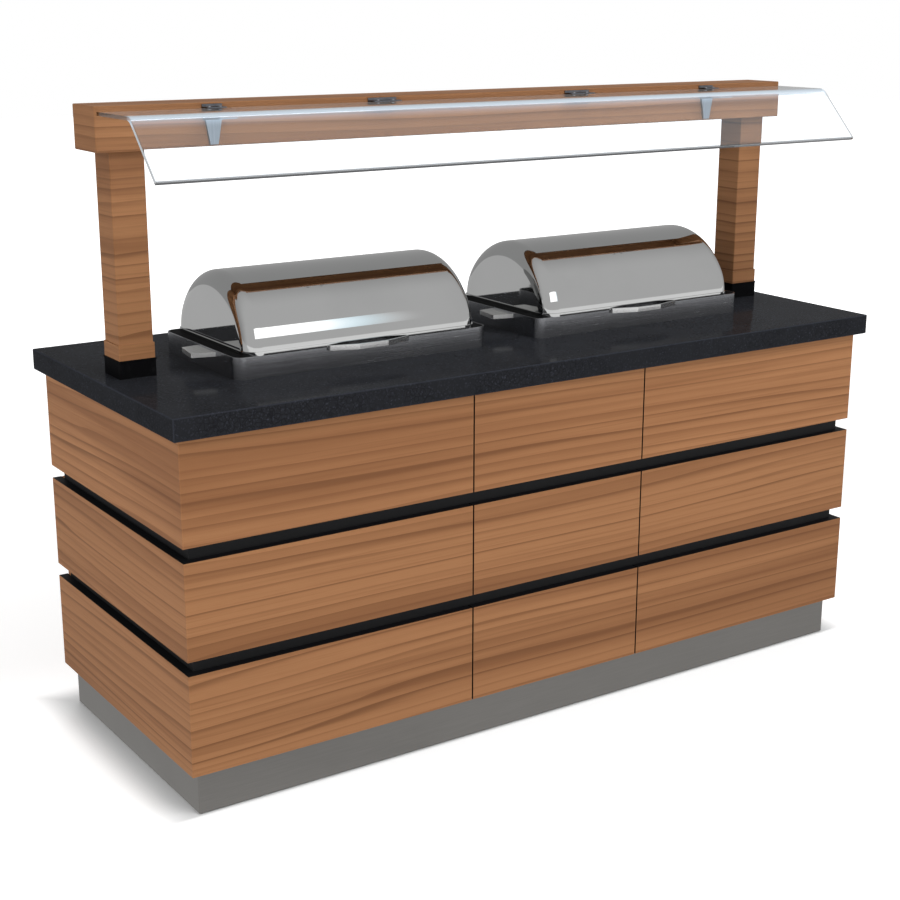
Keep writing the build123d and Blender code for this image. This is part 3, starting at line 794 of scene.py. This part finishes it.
class COUNTER_OT_wells(CounterOperator):
    """Heated wells with their skirts, frames, tanks, elements and food pans"""

    bl_idname = "counter.wells"
    bl_label = "Heated Wells"

    def execute(self, context):
        steel = context.scene.counter_steel
        dress(satin("Satin_skirt_steel", steel.satin, 0.22, "x"), *both("well_skirt"))
        dress(powder_coat(), *both("well_frame"), *both("post_shoe"))
        pressed = satin("Pressed_pan_steel", (0.55, 0.55, 0.55), 0.28, "x")
        dress(pressed, *both("food_pan"), *both("water_tank"))
        dress(heated_metal(), *both("heating_element"))
        dress(satin("Brushed_rest_steel", (0.84, 0.84, 0.83), 0.3, "y"), *both("ladle_rest"))
        return {"FINISHED"}


class COUNTER_OT_lids(CounterOperator):
    """Domed lids and their bow handles"""

    bl_idname = "counter.lids"
    bl_label = "Lids"

    def execute(self, context):
        dress(mirror_steel(), *both("lid"))
        polished = satin("Polished_handle_steel", (0.66, 0.66, 0.66), 0.16, "x")
        dress(polished, *both("lid_handle"))
        return {"FINISHED"}


class COUNTER_OT_glass(CounterOperator):
    """Bent glass guard with its brackets and clips"""

    bl_idname = "counter.glass"
    bl_label = "Glass Guard"

    def execute(self, context):
        dress(clear_glass(), "glass_guard")
        nodes["glass_guard"].visible_shadow = False
        nodes["glass_guard"].visible_glossy = False
        dress(satin("Satin_bracket", (0.36, 0.4, 0.45), 0.36, "z"), *both("glass_bracket"))
        dress(satin("Dark_clip_steel", (0.13, 0.135, 0.15), 0.3, "x"), "glass_clips")
        for name in ("glass_clips", *both("glass_bracket")):
            nodes[name].visible_glossy = False
        add_clip_screws()
        return {"FINISHED"}


def add_clip_screws():
    """Two screws on each flat clip of the glass."""
    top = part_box("glass_guard")[1].z + CLIP_THICKNESS
    across = [sign * x for sign in SIDES.values() for x in CLIP_SCREW_X]
    places = [Matrix.Translation((x, CLIP_SCREW_Y, top)) for x in across]
    shape = gather(screw_head(radius=0.004, height=0.002), places)
    steel = satin("Clip_screw_steel", (0.3, 0.3, 0.32), 0.3, "x")
    piece("Clip_screws", shape, steel, "counter")


class COUNTER_OT_controls(CounterOperator):
    """Control plate, knobs, switches, lamps, gland and door hinges"""

    bl_idname = "counter.controls"
    bl_label = "Staff Side"

    def execute(self, context):
        hinge = satin("Satin_hinge_steel", (0.5, 0.5, 0.5), 0.32, "z")
        dress(hinge, "hinge_fixed_leaves", "door_left_hinge_leaves", "door_right_hinge_leaves")
        dress(satin("Brushed_control_plate", (0.5, 0.5, 0.5), 0.3, "x"), "control_plate")
        dress(moulded("Black_knob_plastic", (0.02, 0.02, 0.02), 0.4), *both("thermostat_knob"))
        rocker = moulded("Glossy_rocker_plastic", (0.025, 0.025, 0.025), 0.15)
        dress(rocker, *both("rocker_switch"))
        dress(moulded("Red_lamp_lens", (0.7, 0.05, 0.02), 0.1), "pilot_lamps")
        dress(moulded("Grey_gland_plastic", (0.06, 0.06, 0.06), 0.4), "cable_gland")
        add_hinge_screws(hinge)
        add_plate_screws(hinge)
        print_dials()
        mark_rockers()
        return {"FINISHED"}


def add_hinge_screws(material):
    """Three screws in each hinge leaf, on its own body."""
    head = screw_head(radius=0.0026, height=0.0009)
    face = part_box("door_left")[1].y + HINGE_LEAF_THICKNESS
    heights = [foot + rise for foot in HINGE_FEET for rise in HINGE_SCREW_RISES]
    for side, sign in SIDES.items():
        for body, x in {f"door_{side}": DOOR_LEAF_X, "counter": FIXED_LEAF_X}.items():
            shape = gather(head, [staff_side(sign * x, face, z) for z in heights])
            piece(f"Hinge_screws_{side}_{body}", shape, material, body)


def add_plate_screws(material):
    """A screw in each corner of the control plate."""
    low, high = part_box("control_plate")
    across = (low.x + PLATE_SCREW_INSET, high.x - PLATE_SCREW_INSET)
    heights = (low.z + PLATE_SCREW_INSET, high.z - PLATE_SCREW_INSET)
    places = [staff_side(x, high.y, z) for x in across for z in heights]
    shape = gather(screw_head(radius=0.004, height=0.0016), places)
    piece("Control_plate_screws", shape, material, "counter")


def print_dials():
    """A ring of marks numbered 0 to 9 round each knob, and a white pointer on the knob."""
    paint = moulded("White_printed_paint", (0.75, 0.75, 0.73), 0.45)
    ink = moulded("Black_printed_paint", (0.015, 0.015, 0.015), 0.45)
    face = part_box("control_plate")[1].y
    for side in SIDES:
        low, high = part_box(f"thermostat_knob_{side}")
        x, z = (low.x + high.x) / 2, (low.z + high.z) / 2
        dial = bmesh.new()
        for number in range(10):
            turn = Matrix.Rotation(-number * DIAL_STEP, 4, "Z")
            ray = staff_side(x, face, z) @ turn
            stroke(dial, ray @ up(TICK_RADIUS), length=0.003, width=0.0008)
            upright = ray @ up(NUMBER_RADIUS) @ turn.inverted()
            numeral(dial, upright, str(number), size=0.0075)
        piece(f"Dial_marks_{side}", dial, ink, "counter")
        pointer = bmesh.new()
        start = staff_side(x, high.y, z) @ up(POINTER_RADIUS)
        stroke(pointer, start, length=0.012, width=0.0016)
        piece(f"Knob_pointer_{side}", pointer, paint, f"knob_{side}")


def mark_rockers():
    """A white stroke on the upper half of each rocker and a ring on the lower half."""
    paint = moulded("White_rocker_mark", (0.75, 0.75, 0.73), 0.4)
    x, y, z = ROCKER_AXIS
    slant = math.atan2(ROCKER_RISE - ROCKER_DISH, ROCKER_HALF)
    out = (ROCKER_RISE + ROCKER_DISH) / 2
    for side, sign in SIDES.items():
        axis = Matrix.Translation((sign * x, y, z)) @ Matrix.Rotation(-ROCKER_TILT, 4, "X")
        marks = bmesh.new()
        for way in (1, -1):
            middle = Matrix.Translation((0, out, way * ROCKER_HALF / 2))
            half = axis @ middle @ Matrix.Rotation(-way * slant, 4, "X") @ STAFF
            if way == 1:
                stroke(marks, half @ up(-0.002), length=0.004, width=0.0009)
            else:
                ring(marks, half, radius=0.0024, width=0.0008)
        piece(f"Rocker_marks_{side}", marks, paint, f"rocker_{side}")


# Stage
WINDOW_PLACE = (1.1, -6.2, 4.3)
WINDOW_WIDTH = 8.4
WINDOW_HEIGHT = 3.1
CAMERA_PLACE = (-2.2687, -3.2814, 1.7184)
CAMERA_TURN = (math.pi / 2 - 0.2744, -0.0021, -0.5905)


class COUNTER_OT_stage(CounterOperator):
    """Floor, backdrop, studio light and camera"""

    bl_idname = "counter.stage"
    bl_label = "Floor, Light and Camera"

    def execute(self, context):
        stage = context.scene.counter_stage
        context.scene.view_settings.view_transform = "Standard"
        make_floor(stage)
        make_world(context.scene, stage)
        make_lamp("Key_light", (1.6, -4.2, 5.4), aim=0.5, size=(4.5, 3.5), power=stage.key_power)
        make_lamp("Front_fill", (0.3, -6.0, 1.85), aim=0.95, size=(3.9, 1.5), power=55)
        make_window()
        make_lamp("Left_fill", (-5.2, -1.4, 2.6), aim=0.6, size=(3, 3), power=92)
        make_lamp("Back_light", (1.0, 5.0, 4.2), aim=0.6, size=(4, 3), power=90)
        make_camera(context.scene, stage)
        return {"FINISHED"}


def add_card(name, material, place):
    """A flat square of one metre, stretched and moved to its place on the stage."""
    shape = bmesh.new()
    bmesh.ops.create_grid(shape, x_segments=1, y_segments=1, size=0.5)
    bmesh.ops.transform(shape, matrix=place, verts=shape.verts)
    card = add_object(name, shape, material)
    return card


def make_floor(stage):
    """A white floor, with a painted soft shadow where the plinth stands on it and painted light
    a little farther out from its ends. In mirrors it gives off its own light, with painted shade
    behind the counter.
    """
    finish = Finish(
        "White_floor",
        base_color=(0.8, 0.8, 0.8, 1),
        roughness=0.9,
        specular_ior_level=0.0,
    )
    direct, mirrored = finish.seen_by()
    x, y, _ = finish.axes(finish.place())
    far = (x * x + y * y).between(4, 36)
    low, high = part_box("plinth")
    reach = (abs(x) - high.x).most(y - high.y)
    # A painted shadow along the plinth's ends and back, and painted light a little farther out
    painted_contact_shadow = (1 - reach.between(0, 0.1)) * y.between(low.y - 0.012, low.y)
    painted_light_beside = reach.between(0.05, 0.12) * (1 - y.between(0.25, 0.7))
    pale = 0.42 + far * 0.6 + painted_light_beside * 0.17 - painted_contact_shadow * 0.42
    inputs = {0: finish.shader.outputs[0], 1: finish.shine(WHITE, direct * pale)}
    lit = finish.node("ShaderNodeAddShader", None, inputs)
    # In mirrors the floor gives off its own light: darker behind, more to the right, as a painted
    # shade, and brighter far ahead
    behind = y.between(-1, 2) * (0.06 + x.between(-1.5, 1.5) * 0.2)
    ahead = 1 - y.between(-3.2, -1.2)
    mirror = finish.shine(WHITE, 0.72 - behind + ahead * 0.42)
    inputs = {0: mirrored, 1: lit.outputs[0], 2: mirror}
    finish.show(finish.node("ShaderNodeMixShader", None, inputs).outputs[0])
    side = stage.floor_size
    add_card("Floor", finish.material, Matrix.Diagonal((side, side, 1, 1)))


def make_window():
    """A tall window behind the camera, which shows only in polished metal and glass."""
    finish = Finish("Window_daylight")
    x, _, z = finish.axes(finish.place())
    fade = (x - (z - 2.7) * 0.26).between(2.6, 3.7)
    cool = fade.between(0, 0.4) * (1 - fade.between(0.5, 1))
    tint = finish.blend(cool, WHITE, (0.8, 0.93, 1))
    finish.show(finish.shine(tint, 2.5 - fade * 1.79))
    size = Matrix.Diagonal((WINDOW_WIDTH, WINDOW_HEIGHT, 1, 1))
    upright = Matrix.Rotation(math.pi / 2, 4, "X") @ size
    window = add_card("Window", finish.material, Matrix.Translation(WINDOW_PLACE) @ upright)
    for ray in ("camera", "diffuse", "transmission", "volume_scatter", "shadow"):
        setattr(window, f"visible_{ray}", False)


def make_world(scene, stage):
    """White to the eye, greyer in polished metal, and an even light on everything."""
    sky = Sky("Studio")
    scene.world = sky.world
    direct, mirrored = sky.seen_by()
    _, y, _ = sky.axes(sky.node("ShaderNodeTexCoord").outputs["Generated"])
    back = 0.71 - y.between(-0.3, 0.45) * 0.29
    unseen = 1 - direct.most(mirrored)
    sky.put(sky.shader.inputs["Color"], WHITE)
    sky.put(sky.shader.inputs["Strength"], direct + mirrored * back + unseen * stage.ambient)


def make_lamp(name, place, aim, size, power):
    """A soft lamp that neither the eye nor a mirror sees. aim is a height above the origin."""
    light = bpy.data.lights.new(name, "AREA")
    light.shape = "RECTANGLE"
    light.size, light.size_y = size
    light.energy = power
    lamp = bpy.data.objects.new(name, light)
    bpy.context.scene.collection.objects.link(lamp)
    lamp.location = place
    way = Vector((0, 0, aim)) - Vector(place)
    lamp.rotation_euler = way.to_track_quat("-Z", "Y").to_euler()
    lamp.visible_camera = False
    lamp.visible_glossy = False


def make_camera(scene, stage):
    """The camera at the photograph's viewing angle."""
    data = bpy.data.cameras.new("Camera")
    data.sensor_width = 36
    data.lens = stage.lens
    camera = bpy.data.objects.new("Camera", data)
    scene.collection.objects.link(camera)
    camera.location = CAMERA_PLACE
    camera.rotation_euler = CAMERA_TURN
    scene.camera = camera


class COUNTER_PT_parts(bpy.types.Panel):
    """Lists the counter's settings and the operators that make it"""

    bl_label = "Heated Buffet Counter"
    bl_idname = "COUNTER_PT_parts"
    bl_space_type = "VIEW_3D"
    bl_region_type = "UI"
    bl_category = "Counter"

    def draw(self, context):
        for group in GROUPS:
            box = self.layout.box()
            settings = getattr(context.scene, group)
            for name in settings.__annotations__:
                box.prop(settings, name)
        for operator in OPERATORS:
            self.layout.operator(operator.bl_idname)


GROUPS = {
    "counter_timber": CounterTimber,
    "counter_stone": CounterStone,
    "counter_steel": CounterSteel,
    "counter_stage": CounterStage,
}
OPERATORS = [
    COUNTER_OT_timber,
    COUNTER_OT_carcass,
    COUNTER_OT_worktop,
    COUNTER_OT_wells,
    COUNTER_OT_lids,
    COUNTER_OT_glass,
    COUNTER_OT_controls,
    COUNTER_OT_stage,
]


def register():
    """Registers the settings, the operators and the panel."""
    for group in GROUPS.values():
        bpy.utils.register_class(group)
    for name, group in GROUPS.items():
        setattr(bpy.types.Scene, name, bpy.props.PointerProperty(type=group))
    for operator in OPERATORS:
        bpy.utils.register_class(operator)
    bpy.utils.register_class(COUNTER_PT_parts)


def unregister():
    """Takes them all away again."""
    bpy.utils.unregister_class(COUNTER_PT_parts)
    for operator in reversed(OPERATORS):
        bpy.utils.unregister_class(operator)
    for name, group in GROUPS.items():
        delattr(bpy.types.Scene, name)
        bpy.utils.unregister_class(group)


def main():
    """Makes the whole scene."""
    register()
    for operator in OPERATORS:
        family, name = operator.bl_idname.split(".")
        getattr(getattr(bpy.ops, family), name)()


if __name__ == "__main__":
    main()
